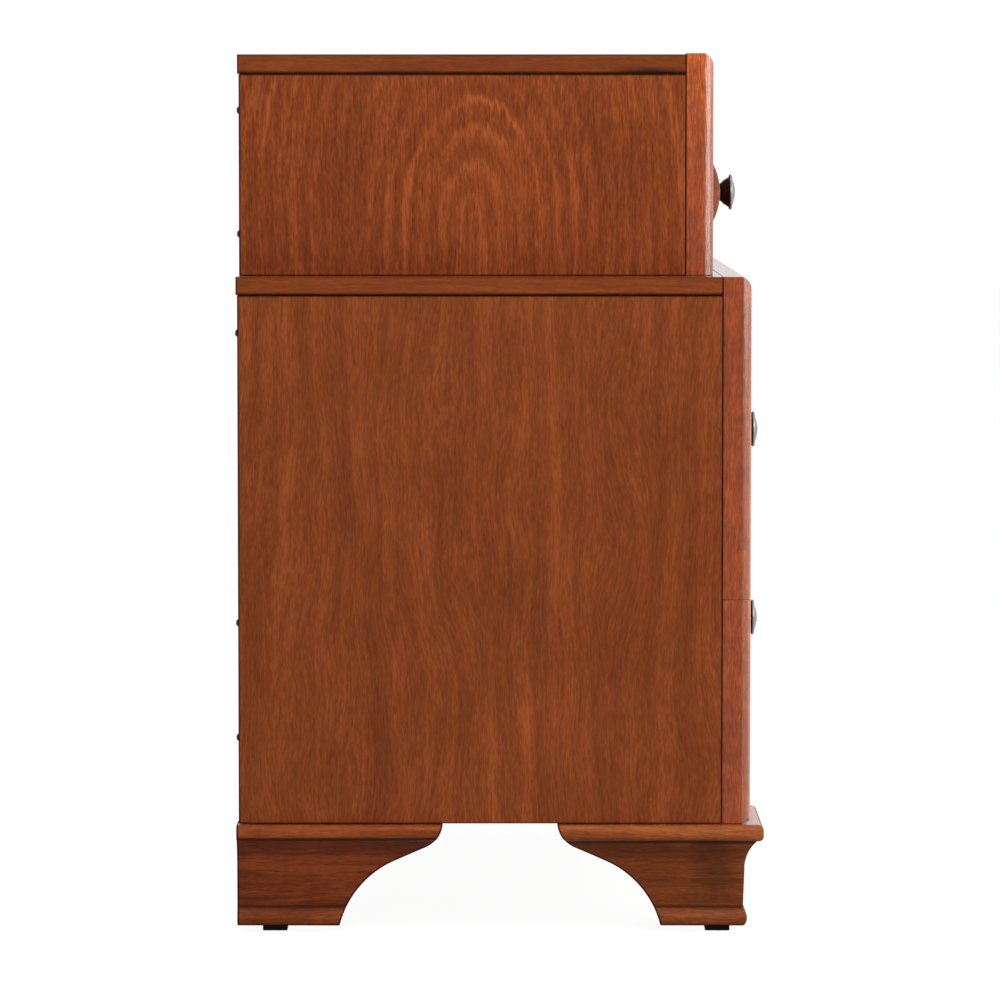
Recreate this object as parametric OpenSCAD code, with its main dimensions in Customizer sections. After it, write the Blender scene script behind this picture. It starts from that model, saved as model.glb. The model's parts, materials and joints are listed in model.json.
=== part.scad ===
// Two-tier nightstand: a lower case with two drawers on bracket feet, and a
// smaller upper case that stands back from it and holds an ogee-fronted drawer.
// Millimetres. +Z up, the fronts face -Y, the width runs along X.
// The origin is on the floor, at the middle of the overall width and depth.

/* [Cases] */
// Width of the lower case across its side panels
case_w = 660; // [600:5:760]
// Depth of the lower case from face frame to back edge
case_d = 445; // [410:5:520]
// Height of the lower case, without its feet
lower_h = 475; // [465:0.5:520]
// Height of the upper case
upper_h = 193; // [185:1:230]
// Step from the lower case's side to the upper case's side
side_step = 40; // [25:1:55]
// Step from the lower face frame to the upper face frame
front_step = 32; // [20:1:45]
// Thickness of the side panels
side_t = 18; // [15:0.5:22]
// Thickness of the lower top board
lower_top_t = 16; // [13:0.5:22]
// Thickness of the upper top board
upper_top_t = 17; // [13:0.5:22]
// Radius on the upper long edges of the top boards
top_edge_r = 1; // [0.5:0.25:3]
// Radius on the lower long edges of the top boards
top_foot_r = 3.5; // [1:0.5:6]
// Depth of the upper top board's face below the top of its face frame
upper_top_drop = 1; // [0:0.25:3]
// How far the top boards reach past the back edge of the side panels
top_overhang = 1.3; // [0:0.1:5]
// Thickness of the back panels
back_t = 5; // [3:0.5:8]
// Width of the side panel's rebate that holds a back panel
rebate_w = 10; // [8:0.5:12]
// Thickness of the case bottom
bottom_t = 12; // [9:0.5:18]
// Height of the case bottom above the lower edge of the side panels
bottom_rise = 9.5; // [6:0.5:20]
// Depth of the housing that holds the case bottom in each side panel
housing_d = 6; // [3:0.5:9]

/* [Face frames] */
// Width of the stiles as seen from the front
stile_w = 45; // [38:1:60]
// Thickness of the lower face frame
lower_frame_t = 25; // [20:0.5:32]
// Thickness of the upper face frame
upper_frame_t = 24; // [20:0.5:30]
// Reach of the rounded outer edge across the front face
round_face = 12; // [6:0.5:16]
// Reach of the rounded outer edge back along the side
round_depth = 8; // [4:0.5:10]
// Height of the rail under the lower drawer
lower_bottom_rail_h = 72; // [60:0.5:80]
// Height of the rail between the lower case's drawers
mid_rail_h = 20; // [18:0.5:30]
// Height of the rail under the upper drawer
upper_bottom_rail_h = 33; // [29:0.5:45]
// Height of the left stile's lower length, up to its butt joint
splice_h = 195; // [180:1:210]
// Length of the tenons on the rails
tenon_l = 18; // [10:0.5:28]
// Thickness of the tenons on the rails
tenon_t = 8; // [6:0.5:10]
// Shoulder above and below each tenon
tenon_shoulder = 4; // [2:0.5:6]

/* [Drawers] */
// Height of the lower and middle drawer openings
lower_open_h = 155; // [140:0.5:158]
// Height of the upper drawer opening
upper_open_h = 130; // [122:0.5:135]
// Gap between a drawer front and its opening
reveal = 1.6; // [1:0.1:3]
// Depth of the flat drawer fronts behind the face frame
front_recess = 4.5; // [2:0.5:7]
// Thickness of the flat drawer fronts
front_t = 20; // [18:0.5:24]
// Thickness of the drawer sides
drawer_side_t = 12; // [10:0.5:15]
// Thickness of the drawer backs
drawer_back_t = 12; // [10:0.5:15]
// Thickness of the drawer bottoms
drawer_bottom_t = 5; // [4:0.5:6.5]
// Height of the drawer bottom above the lower edge of the drawer side
groove_rise = 12; // [8:0.5:18]
// Depth of the grooves that hold the drawer bottom
groove_d = 6; // [4:0.5:7]
// Drop from the top of the opening to the top of the drawer sides
side_drop = 8; // [5:0.5:12]
// Drop from the top of the drawer sides to the top of the drawer back
back_drop = 6; // [0:0.5:15]
// Space from the end of the drawer to the back panel
drawer_end_space = 25; // [15:1:50]

/* [Ogee front] */
// Radius of the convex roll
roll_r = 56; // [50:0.5:70]
// How far the roll stands in front of the face frame
roll_proud = 7.4; // [4:0.2:10]
// Height of the roll's crest above the opening's lower edge
roll_z = 38.5; // [34:0.5:42]
// Height at which the roll turns into the cove
turn_z = 75; // [70:0.5:78]
// Depth of the ogee front's back face behind the face frame
ogee_back = 32; // [30:0.5:38]

/* [Dovetails] */
// Number of tails at the front of each drawer side
front_tails = 4; // [3:1:5]
// Number of tails at the back of each drawer side
back_tails = 3; // [2:1:4]
// Length of the tails in the flat fronts
flat_tail_l = 14; // [10:0.5:15]
// Length of the tails in the ogee front
ogee_tail_l = 10; // [7:0.5:11]
// Width of a tail at its root as a share of the tail spacing
tail_share = 0.58; // [0.5:0.01:0.64]
// Flare of a tail on each side per millimetre of length
tail_flare = 0.16; // [0.1:0.01:0.2]

/* [Runners and stops] */
// Width of the runner's shelf under a drawer side
shelf_w = 20; // [16:0.5:26]
// Height of the runner's shelf in the lower case
shelf_h = 19; // [14:0.5:24]
// Height of the runner's guide above its shelf
guide_h = 30; // [20:1:45]
// Height of the block that ends the runner, above its shelf
end_block_h = 24; // [15:1:28]
// Width of the stop on the drawer back
stop_w = 30; // [20:1:50]
// Thickness of the stop on the drawer back
stop_t = 8; // [6:0.5:12]
// Height of the stop
stop_h = 40; // [34:1:60]
// How far the stop reaches above the opening's upper edge
stop_reach = 8; // [5:0.5:9]

/* [Knobs] */
// Length of the knob from its seat to its tip
knob_l = 25; // [22:0.5:32]
// Diameter of the knob across its rim
knob_d = 32.6; // [30:0.2:40]
// Distance from the middle of the rim to the tip
knob_tip = 4.2; // [3.4:0.2:6]
// Diameter of the knob's neck
knob_neck_d = 10; // [9:0.5:12]
// Diameter of the knob's base
knob_base_d = 16; // [14:0.5:20]
// Diameter of the knob's screw
knob_screw_d = 4; // [3:0.5:5]
// Depth of the screw hole in the knob
knob_hole_l = 12; // [8:0.5:15]
// Drop from the roll's crest to the middle of the upper knob
knob_drop = 2.8; // [0:0.2:5]

/* [Feet] */
// Height of the feet, without the glides
foot_h = 90.5; // [88:0.5:100]
// Length of the side brackets along their top
foot_side_l = 179.5; // [165:0.5:195]
// Length of the front brackets along their top
foot_front_l = 140; // [130:1:180]
// How far the rear brackets reach past the back edge of the side panels
foot_rear_out = 1.8; // [0:0.2:4]
// Run of the curved cut from the foot's toe to its tip
foot_run = 90.5; // [84:0.5:96]
// Radius of the arch in the curved cut
arch_r = 85; // [80:0.5:90]
// Lean of the arch from upright where it starts at the toe, in degrees
toe_lean = 14; // [12:0.5:20]
// Radius of the nose at the tip of the curved cut
nose_r = 28; // [20:0.5:32]
// Height of the nose's centre above the top of the foot
nose_rise = 4; // [0:0.5:8]
// Thickness of the bracket behind its flat face
bracket_t = 18; // [16:0.5:22]
// Depth of the flat face behind the case side
face_inset = 5; // [4:0.2:8]
// How far the flat face leans in from its upper edge to the bottom bead
face_lean = 1.2; // [0:0.1:2]
// How far the top bead stands out from the case side
bead_out = 11; // [8:0.2:12]
// Height of the top bead
bead_h = 14.5; // [11:0.5:16]
// Radius on the top bead's edges
bead_r = 4.8; // [3:0.2:5.4]
// Radius of the cove under the top bead
cove_r = 37; // [34:0.5:44]
// Height of the cove
cove_h = 26; // [22:0.5:30]
// Height of the bottom bead
toe_bead_h = 16; // [12:0.5:18]
// How far the bottom bead stands out from the flat face
toe_bead_out = 3.4; // [1.5:0.1:4]
// Width of the square corner blocks
block_w = 42; // [34:1:50]
// Thickness of the plain boards behind the rear feet
rear_board_t = 15; // [12:0.5:18]
// Length of the plain boards along their top
rear_board_l = 105; // [90:1:140]
// Length of the plain boards along their foot
rear_board_toe = 48; // [45:1:70]

/* [Glides and screws] */
// Height of the glides
glide_h = 6.5; // [4:0.5:12]
// Width of the square glides
glide_w = 21.5; // [18:0.5:26]
// Bevel around the glides' lower edge
glide_bevel = 0.6; // [0.2:0.1:1.5]
// Distance from the case side to a glide's centre
glide_side = 31.5; // [28:0.5:36]
// Distance from the lower face frame to a front glide's centre
glide_front = 28; // [27.5:0.5:36]
// Distance from the case's back edge to a rear glide's centre
glide_rear = 30.5; // [26:0.5:36]
// Diameter of the glide's nail
nail_d = 3; // [2:0.5:4]
// Length of the glide's nail
nail_l = 20; // [12:1:30]
// Diameter of the wood screws
wood_screw_d = 3.5; // [3:0.5:4.5]
// Diameter of the wood screws' round heads
wood_screw_head_d = 7; // [6.5:0.5:8]
// Height of the wood screws' round heads
wood_screw_head_h = 2.4; // [2:0.2:3]
// Length of the back panels' screws under the head
back_screw_l = 18; // [14:1:25]
// Length of the tier screws under the head
tier_screw_l = 32; // [28:1:40]

/* [Fits] */
// Gap between pieces that are glued or screwed together
glue_gap = 0.2; // [0.1:0.05:0.4]
// Gap between a drawer and what it slides on or stops against
run_gap = 0.3; // [0.2:0.05:0.5]
// Gap between a drawer side and the runner's guide
guide_gap = 0.5; // [0.3:0.05:1]
// Gap between a dovetail and its socket on each side
tail_gap = 0.15; // [0.1:0.05:0.3]
// Radial gap between a screw or nail and its hole
screw_gap = 0.1; // [0.05:0.05:0.25]

/* [Hidden] */
$fn = 96;
eps = 0.01;
past = 1;
far = 400;

// Heights from the floor
foot_top = glide_h + foot_h;
lower_top_z = foot_top + lower_h;
upper_frame_top = lower_top_z + upper_h;
upper_top_z = upper_frame_top - upper_top_drop;
lower_open_z = foot_top + lower_bottom_rail_h;
middle_open_z = lower_open_z + lower_open_h + mid_rail_h;
lower_top_rail_z = middle_open_z + lower_open_h;
upper_open_z = lower_top_z + upper_bottom_rail_h;
upper_top_rail_z = upper_open_z + upper_open_h;
splice_z = foot_top + splice_h;
case_bottom_z = foot_top + bottom_rise;

// Widths
upper_w = case_w - 2 * side_step;
lower_open_w = case_w - 2 * stile_w;
upper_open_w = upper_w - 2 * stile_w;

// Rounded outer edge of the face frames, an arc that is tangent to the front
round_r = (round_face * round_face + round_depth * round_depth) / (2 * round_depth);

// Drawers end here, in front of the runners' end blocks
drawer_end = case_d - back_t - drawer_end_space;
stop_face = drawer_end - drawer_back_t - glue_gap - stop_t;

// Each drawer: opening width, opening foot, opening height, face frame plane,
// depth of the front's back face behind that plane, tail length
UPPER = [upper_open_w, upper_open_z, upper_open_h, front_step, ogee_back, ogee_tail_l];
MIDDLE = [lower_open_w, middle_open_z, lower_open_h, 0, front_recess + front_t, flat_tail_l];
LOWER = [lower_open_w, lower_open_z, lower_open_h, 0, front_recess + front_t, flat_tail_l];
function box_w(d) = d[0] - 2 * reveal;
function box_z(d) = d[1] + reveal;
function open_top(d) = d[1] + d[2];
function side_top(d) = open_top(d) - side_drop;
function front_back_y(d) = d[3] + d[4];
function groove_z(d) = box_z(d) + groove_rise;
function back_z(d) = groove_z(d) + drawer_bottom_t + glue_gap;
function back_top(d) = side_top(d) - back_drop;

// Ogee section, measured from the face frame plane and the opening's foot
roll_y = roll_r - roll_proud;
turn_rise = turn_z - roll_z;
turn_run = sqrt(roll_r * roll_r - turn_rise * turn_rise);
turn_y = roll_y - turn_run;
ogee_top = upper_open_h - reveal;
cove_half = (ogee_top - turn_z) / 2;
front_cove_r = cove_half * roll_r / turn_rise;
front_cove_y = turn_y - front_cove_r * turn_run / roll_r;

// Knobs sit on the roll and at the middle of the flat fronts
upper_knob_z = upper_open_z + roll_z - knob_drop;
middle_knob_z = middle_open_z + lower_open_h / 2;
lower_knob_z = lower_open_z + lower_open_h / 2;
knob_seat_d = knob_base_d + 1;
knob_seat_depth = roll_r - sqrt(roll_r * roll_r - pow(knob_seat_d / 2 + knob_drop + 1.5, 2));
upper_knob_y = front_step - roll_proud + knob_seat_depth;
knob_rim = knob_l - knob_tip;
knob_screw_head_d = 2 * knob_screw_d;
knob_screw_head_h = 0.65 * knob_screw_d;

// Curved cut of the feet: an arch that starts at the toe and a nose at the tip,
// joined by the straight line that touches both. slope_at is the direction
// square to that line.
function nose_at(len) = [len - nose_r, foot_top + nose_rise];
function toe_at(len) = [len - foot_run, glide_h];
function arch_at(len) = toe_at(len) + arch_r * [cos(toe_lean), -sin(toe_lean)];
function slope_at(len) =
    let (v = nose_at(len) - arch_at(len))
    let (a = atan2(v[1], v[0]) + acos(min(1, (arch_r + nose_r) / norm(v))))
    [cos(a), sin(a)];

// The straight line sinks this far into both circles and starts this far back
// along the arch, so that it crosses them
line_lap = 0.05;
line_run_in = 6;

// Foot moulding, measured outwards from the case side
face_out = -face_inset;
inner_out = face_out - bracket_t;
toe_out = face_out - face_lean;
toe_chord_r = (pow(toe_bead_h / 2, 2) + toe_bead_out * toe_bead_out) / (2 * toe_bead_out);
toe_bead_drop = 0.6;
cove_lap = 0.1;
corner_x = case_w / 2;
block_out = max(-inner_out, side_t, lower_frame_t) + glue_gap;
rear_block_in = rear_board_t + glue_gap;

// Screws
back_screw_x = rebate_w / 2;
UPPER_SCREWS = [upper_h - 49.5, 36];
LOWER_SCREWS = [lower_h - 49, 174, 74];
TIER_SCREWS = [125, 360];
pilot_r = wood_screw_d / 2 + screw_gap;
through_r = wood_screw_d / 2 + 0.4;

// Overall depth, for the origin
front_reach = min(-bead_out, front_recess - glue_gap - knob_l, upper_knob_y - glue_gap - knob_l);
back_reach = case_d + max(wood_screw_head_h + glue_gap, top_overhang);
mid_y = (front_reach + back_reach) / 2;

// Colours of the finishes
CHERRY = [0.52, 0.27, 0.14];
CHERRY_LIGHT = [0.62, 0.33, 0.18];
BIRCH = [0.82, 0.68, 0.49];
PLY = [0.55, 0.38, 0.24];
BRONZE = [0.24, 0.18, 0.15];
STEEL = [0.66, 0.66, 0.68];
BLACK = [0.08, 0.08, 0.08];

// A flat section in Y and Z, drawn out along X
module along_x(x0, x1) {
    translate([x0, 0, 0])
        rotate([90, 0, 90])
            linear_extrude(x1 - x0)
                children();
}

// A flat section in X and Z, drawn out along Y
module along_y(y0, y1) {
    translate([0, y1, 0])
        rotate([90, 0, 0])
            linear_extrude(y1 - y0)
                children();
}

// A box between two corners
module block(low, high) {
    translate(low)
        cube(high - low);
}

// The same piece on the other side of the nightstand
module other_side() {
    mirror([1, 0, 0])
        children();
}

// What a rounded frame edge takes off: along the face, then into the depth
module rounding_cut() {
    difference() {
        translate([-past, -past])
            square([round_face + past, round_depth + past]);
        translate([round_face, round_r])
            circle(round_r);
    }
}

// A whole face frame as one slab, with its outer front edges rounded
module frame_slab(w, y0, t, z0, z1, round_foot) {
    intersection() {
        translate([0, y0, z0])
            linear_extrude(z1 - z0)
                difference() {
                    translate([-w / 2, 0])
                        square([w, t]);
                    for (side = [0, 1])
                        mirror([side, 0])
                            translate([-w / 2, 0])
                                rounding_cut();
                }
        translate([0, y0, 0])
            along_x(-w / 2 - past, w / 2 + past)
                difference() {
                    translate([0, z0])
                        square([t, z1 - z0]);
                    translate([0, z1])
                        rotate(-90)
                            rounding_cut();
                    if (round_foot)
                        translate([0, z0])
                            mirror([0, 1])
                                rotate(-90)
                                    rounding_cut();
                }
    }
}

module upper_frame_slab() {
    frame_slab(upper_w, front_step, upper_frame_t, lower_top_z + glue_gap, upper_frame_top, false);
}

module lower_frame_slab() {
    frame_slab(case_w, 0, lower_frame_t, foot_top, lower_top_z, true);
}

// Space for a rail's tenon in the left stile
module mortise(open_w, y0, t, z0, z1) {
    block([-open_w / 2 - tenon_l - glue_gap, y0 + (t - tenon_t) / 2 - glue_gap, z0 + tenon_shoulder - glue_gap],
          [-open_w / 2 + past, y0 + (t + tenon_t) / 2 + glue_gap, z1 - tenon_shoulder + glue_gap]);
}

// A rail between the stiles, with a tenon at each end
module rail(open_w, y0, t, z0, z1) {
    color(CHERRY_LIGHT)
        union() {
            intersection() {
                children();
                block([-open_w / 2 + glue_gap, y0 - past, z0],
                      [open_w / 2 - glue_gap, y0 + t + past, z1]);
            }
            block([-open_w / 2 - tenon_l, y0 + (t - tenon_t) / 2, z0 + tenon_shoulder],
                  [open_w / 2 + tenon_l, y0 + (t + tenon_t) / 2, z1 - tenon_shoulder]);
        }
}

module upper_stile_left() {
    color(CHERRY_LIGHT)
        difference() {
            intersection() {
                upper_frame_slab();
                block([-upper_w / 2 - past, front_step - past, 0],
                      [-upper_open_w / 2, front_step + upper_frame_t + past, upper_frame_top + past]);
            }
            mortise(upper_open_w, front_step, upper_frame_t, lower_top_z + glue_gap, upper_open_z);
            mortise(upper_open_w, front_step, upper_frame_t, upper_top_rail_z, upper_frame_top);
        }
}

module upper_stile_right() {
    other_side()
        upper_stile_left();
}

module upper_top_rail() {
    rail(upper_open_w, front_step, upper_frame_t, upper_top_rail_z, upper_frame_top)
        upper_frame_slab();
}

module upper_bottom_rail() {
    rail(upper_open_w, front_step, upper_frame_t, lower_top_z + glue_gap, upper_open_z)
        upper_frame_slab();
}

// A length of the left lower stile
module lower_stile_length(z0, z1) {
    color(CHERRY_LIGHT)
        difference() {
            intersection() {
                lower_frame_slab();
                block([-case_w / 2 - past, -past, z0],
                      [-lower_open_w / 2, lower_frame_t + past, z1]);
            }
            mortise(lower_open_w, 0, lower_frame_t, foot_top, lower_open_z);
            mortise(lower_open_w, 0, lower_frame_t, middle_open_z - mid_rail_h, middle_open_z);
            mortise(lower_open_w, 0, lower_frame_t, lower_top_rail_z, lower_top_z);
        }
}

module lower_stile_left_head() {
    lower_stile_length(splice_z + glue_gap, lower_top_z + past);
}

module lower_stile_left_foot() {
    lower_stile_length(foot_top - past, splice_z);
}

module lower_stile_right() {
    other_side()
        lower_stile_length(foot_top - past, lower_top_z + past);
}

module lower_top_rail() {
    rail(lower_open_w, 0, lower_frame_t, lower_top_rail_z, lower_top_z)
        lower_frame_slab();
}

module lower_mid_rail() {
    rail(lower_open_w, 0, lower_frame_t, middle_open_z - mid_rail_h, middle_open_z)
        lower_frame_slab();
}

module lower_bottom_rail() {
    rail(lower_open_w, 0, lower_frame_t, foot_top, lower_open_z)
        lower_frame_slab();
}

// A top board with its long side edges rounded, more below than above
module top_board(w, t, y0, z1) {
    along_y(y0, case_d + top_overhang)
        translate([-w / 2, z1 - t]) {
            translate([top_foot_r, 0])
                square([w - 2 * top_foot_r, t / 2]);
            translate([top_edge_r, t / 2])
                square([w - 2 * top_edge_r, t / 2]);
            translate([0, top_foot_r])
                square([w, t - top_foot_r - top_edge_r]);
            for (x = [top_foot_r, w - top_foot_r])
                translate([x, top_foot_r])
                    circle(top_foot_r);
            for (x = [top_edge_r, w - top_edge_r])
                translate([x, t - top_edge_r])
                    circle(top_edge_r);
        }
}

module upper_top() {
    color(CHERRY)
        top_board(upper_w, upper_top_t, front_step + upper_frame_t + glue_gap, upper_top_z);
}

module lower_top() {
    color(CHERRY)
        difference() {
            top_board(case_w, lower_top_t, lower_frame_t + glue_gap, lower_top_z);
            tier_screw_places()
                translate([0, 0, lower_top_z - lower_top_t - past])
                    cylinder(h = lower_top_t + 2 * past, r = through_r);
        }
}

// A left side panel with the rebate for its back panel
module side_panel(w, y0, z0, z1) {
    difference() {
        block([-w / 2, y0, z0], [-w / 2 + side_t, case_d, z1]);
        block([-w / 2 + side_t - rebate_w, case_d - back_t - glue_gap, z0 - past],
              [-w / 2 + side_t + past, case_d + past, z1 + past]);
    }
}

// Pilot holes for the back screws of one left side panel
module back_pilots(w, z0, heights) {
    for (h = heights)
        translate([-w / 2 + side_t - rebate_w + back_screw_x, case_d + past, z0 + h])
            rotate([90, 0, 0])
                cylinder(h = back_screw_l + 2 * past, r = pilot_r);
}

module upper_side_left() {
    color(CHERRY)
        difference() {
            side_panel(upper_w, front_step + upper_frame_t + glue_gap,
                       lower_top_z + glue_gap, upper_top_z - upper_top_t - glue_gap);
            back_pilots(upper_w, lower_top_z, UPPER_SCREWS);
        }
}

module upper_side_right() {
    other_side()
        upper_side_left();
}

module lower_side_left() {
    color(CHERRY)
        difference() {
            side_panel(case_w, lower_frame_t + glue_gap, foot_top, lower_top_z - lower_top_t - glue_gap);
            back_pilots(case_w, foot_top, LOWER_SCREWS);
            block([-case_w / 2 + side_t - housing_d, 0, case_bottom_z - glue_gap],
                  [-case_w / 2 + side_t + past, case_d - back_t, case_bottom_z + bottom_t + glue_gap]);
        }
}

module lower_side_right() {
    other_side()
        lower_side_left();
}

// A back panel with its screw holes
module back_panel(w, z0, z1, heights, from) {
    half = w / 2 - side_t + rebate_w - glue_gap;
    color(PLY)
        difference() {
            block([-half, case_d - back_t, z0], [half, case_d, z1]);
            for (side = [-1, 1])
                for (h = heights)
                    translate([side * (w / 2 - side_t + rebate_w - back_screw_x), case_d + past, from + h])
                        rotate([90, 0, 0])
                            cylinder(h = back_t + 2 * past, r = through_r);
        }
}

module upper_back_panel() {
    back_panel(upper_w, lower_top_z + glue_gap, upper_top_z - upper_top_t - glue_gap, UPPER_SCREWS, lower_top_z);
}

module lower_back_panel() {
    back_panel(case_w, foot_top, lower_top_z - lower_top_t - glue_gap, LOWER_SCREWS, foot_top);
}

module case_bottom() {
    half = case_w / 2 - side_t + housing_d - glue_gap;
    color(PLY)
        block([-half, lower_frame_t + glue_gap, case_bottom_z],
              [half, case_d - back_t - glue_gap, case_bottom_z + bottom_t]);
}

// Left runner: a shelf under the drawer side, a guide beside it, an end block
module runner(d, w, frame_back, shelf_height) {
    shelf_z = box_z(d) - run_gap;
    guide_x = -box_w(d) / 2 - guide_gap;
    wall_x = -w / 2 + side_t + glue_gap;
    y0 = frame_back + glue_gap;
    y1 = case_d - back_t - glue_gap;
    foot_z = shelf_z - shelf_height;
    block([wall_x, y0, foot_z], [guide_x + shelf_w, y1, shelf_z]);
    block([wall_x, y0, shelf_z - past], [guide_x, y1, shelf_z + guide_h]);
    block([guide_x - past, drawer_end + run_gap, shelf_z - past], [guide_x + shelf_w, y1, shelf_z + end_block_h]);
}

module upper_runner_left() {
    color(BIRCH)
        difference() {
            union()
                runner(UPPER, upper_w, front_step + upper_frame_t,
                       box_z(UPPER) - run_gap - lower_top_z - glue_gap);
            tier_screw_places()
                translate([0, 0, lower_top_z - past])
                    cylinder(h = tier_screw_l - lower_top_t + 2 * past, r = pilot_r);
        }
}

module upper_runner_right() {
    other_side()
        upper_runner_left();
}

module middle_runner_left() {
    color(BIRCH)
        union()
            runner(MIDDLE, case_w, lower_frame_t, shelf_h);
}

module middle_runner_right() {
    other_side()
        middle_runner_left();
}

module lower_runner_left() {
    color(BIRCH)
        union()
            runner(LOWER, case_w, lower_frame_t, shelf_h);
}

module lower_runner_right() {
    other_side()
        lower_runner_left();
}

// Round-headed wood screw, its head under z = 0 and its shank above
module wood_screw(len) {
    head_r = wood_screw_head_d / 2;
    ball_r = (head_r * head_r + wood_screw_head_h * wood_screw_head_h) / (2 * wood_screw_head_h);
    difference() {
        union() {
            rotate_extrude()
                intersection() {
                    translate([0, ball_r - wood_screw_head_h])
                        circle(ball_r);
                    translate([0, -wood_screw_head_h - past])
                        square([head_r, wood_screw_head_h + past]);
                }
            translate([0, 0, -eps])
                cylinder(h = len + eps, r = wood_screw_d / 2);
        }
        for (turn = [0, 90])
            rotate(turn)
                translate([-head_r / 2, -0.4, -wood_screw_head_h - past])
                    cube([head_r, 0.8, past + wood_screw_head_h / 2]);
    }
}

module tier_screw_places() {
    for (side = [-1, 1])
        for (y = TIER_SCREWS)
            translate([side * (upper_w / 2 - side_t - glue_gap - shelf_w / 2 - 4), y, 0])
                children();
}

module tier_screws() {
    color(STEEL)
        tier_screw_places()
            translate([0, 0, lower_top_z - lower_top_t - glue_gap])
                wood_screw(tier_screw_l);
}

module back_screw_row(w, z0, heights) {
    for (side = [-1, 1])
        for (h = heights)
            translate([side * (w / 2 - side_t + rebate_w - back_screw_x), case_d + glue_gap, z0 + h])
                rotate([90, 0, 0])
                    wood_screw(back_screw_l);
}

module back_screws() {
    color(STEEL) {
        back_screw_row(upper_w, lower_top_z, UPPER_SCREWS);
        back_screw_row(case_w, foot_top, LOWER_SCREWS);
    }
}

// Side view of a bracket foot, from its outer end at 0 to its tip at len
module foot_outline(len) {
    arch = arch_at(len);
    nose = nose_at(len);
    slope = slope_at(len);
    line_start = arch + (arch_r - line_lap) * slope - line_run_in * [slope[1], -slope[0]];
    line_end = nose - (nose_r - line_lap) * slope;
    top = foot_top - glue_gap;
    difference() {
        translate([0, glide_h])
            square([arch[0] + arch_r * slope[0], top - glide_h]);
        translate(arch)
            circle(arch_r);
    }
    polygon([line_start, line_end, [line_end[0], top], [line_start[0], top]]);
    intersection() {
        translate(nose)
            circle(nose_r);
        translate([line_end[0] - line_run_in, glide_h])
            square([len, top - glide_h]);
    }
}

// Section through a bracket: case side at 0, outwards is positive
module foot_section() {
    top = foot_top - glue_gap;
    bead_z = top - bead_h;
    cove_z = bead_z - cove_h;
    polygon([[inner_out, glide_h], [toe_out, glide_h], [toe_out, glide_h + toe_bead_h], [face_out, cove_z],
             [face_out, top], [inner_out, top]]);
    // Top bead with rounded edges
    translate([face_out - past, bead_z])
        square([bead_out - bead_r - face_out + past, bead_h]);
    translate([face_out, bead_z + bead_r])
        square([bead_out - face_out, bead_h - 2 * bead_r]);
    for (z = [bead_z + bead_r, top - bead_r])
        translate([bead_out - bead_r, z])
            circle(bead_r);
    // Cove between the flat face and the bead
    difference() {
        translate([face_out - past, cove_z])
            square([bead_out - bead_r - face_out + past, cove_h + past]);
        translate([face_out + cove_r - cove_lap, cove_z])
            circle(cove_r);
    }
    // Bottom bead
    intersection() {
        translate([toe_out + toe_bead_out - toe_chord_r, glide_h + toe_bead_h / 2 - toe_bead_drop])
            circle(toe_chord_r);
        translate([toe_out - past, glide_h])
            square([toe_bead_out + 2 * past, toe_bead_h]);
    }
}

// One side of the mitre through the front left corner
module mitre_side() {
    translate([-corner_x - glue_gap / 2, glue_gap / 2, 0])
        linear_extrude(foot_top)
            polygon([[-far, -far], [far, far], [-far, far]]);
}

module mitre_front() {
    translate([-corner_x + glue_gap / 2, -glue_gap / 2, 0])
        linear_extrude(foot_top)
            polygon([[-far, -far], [far, -far], [far, far]]);
}

module foot_front_left_side() {
    color(CHERRY)
        intersection() {
            translate([-corner_x, 0, 0])
                mirror([1, 0, 0])
                    along_y(-bead_out - past, foot_side_l)
                        foot_section();
            along_x(-corner_x - far, -corner_x + far)
                translate([-bead_out, 0])
                    foot_outline(foot_side_l);
            mitre_side();
        }
}

module foot_front_left_front() {
    color(CHERRY)
        intersection() {
            along_x(-corner_x - bead_out - past, -corner_x + foot_front_l)
                mirror([1, 0])
                    foot_section();
            along_y(-far, far)
                translate([-corner_x - bead_out, 0])
                    foot_outline(foot_front_l);
            mitre_front();
        }
}

module foot_front_right_side() {
    other_side()
        foot_front_left_side();
}

module foot_front_right_front() {
    other_side()
        foot_front_left_front();
}

module foot_rear_left_side() {
    color(CHERRY)
        intersection() {
            translate([-corner_x, 0, 0])
                mirror([1, 0, 0])
                    along_y(case_d - foot_side_l - past, case_d + foot_rear_out + past)
                        foot_section();
            along_x(-corner_x - far, -corner_x + far)
                translate([case_d + foot_rear_out, 0])
                    mirror([1, 0])
                        foot_outline(foot_side_l);
        }
}

module foot_rear_right_side() {
    other_side()
        foot_rear_left_side();
}

module foot_rear_boards() {
    color(CHERRY)
        for (side = [0, 1])
            mirror([side, 0, 0])
                translate([-corner_x - inner_out + glue_gap, 0, 0])
                    along_y(case_d - rear_board_t, case_d)
                        polygon([
                            [0, glide_h],
                            [rear_board_toe, glide_h],
                            [rear_board_l, foot_top - bead_h],
                            [rear_board_l, foot_top - glue_gap],
                            [0, foot_top - glue_gap]
                        ]);
}

// Centres of the four glides
module glide_places() {
    for (side = [-1, 1])
        for (y = [glide_front, case_d - glide_rear])
            translate([side * (corner_x - glide_side), y, 0])
                children();
}

module foot_blocks() {
    top = case_bottom_z - glue_gap;
    color(BIRCH)
        difference() {
            for (side = [0, 1])
                for (y = [block_out, case_d - rear_block_in - block_w])
                    mirror([side, 0, 0])
                        block([-corner_x + block_out, y, glide_h],
                              [-corner_x + block_out + block_w, y + block_w, top]);
            glide_places()
                translate([0, 0, glide_h - past])
                    cylinder(h = nail_l + 2 * past, r = nail_d / 2 + screw_gap);
        }
}

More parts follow.
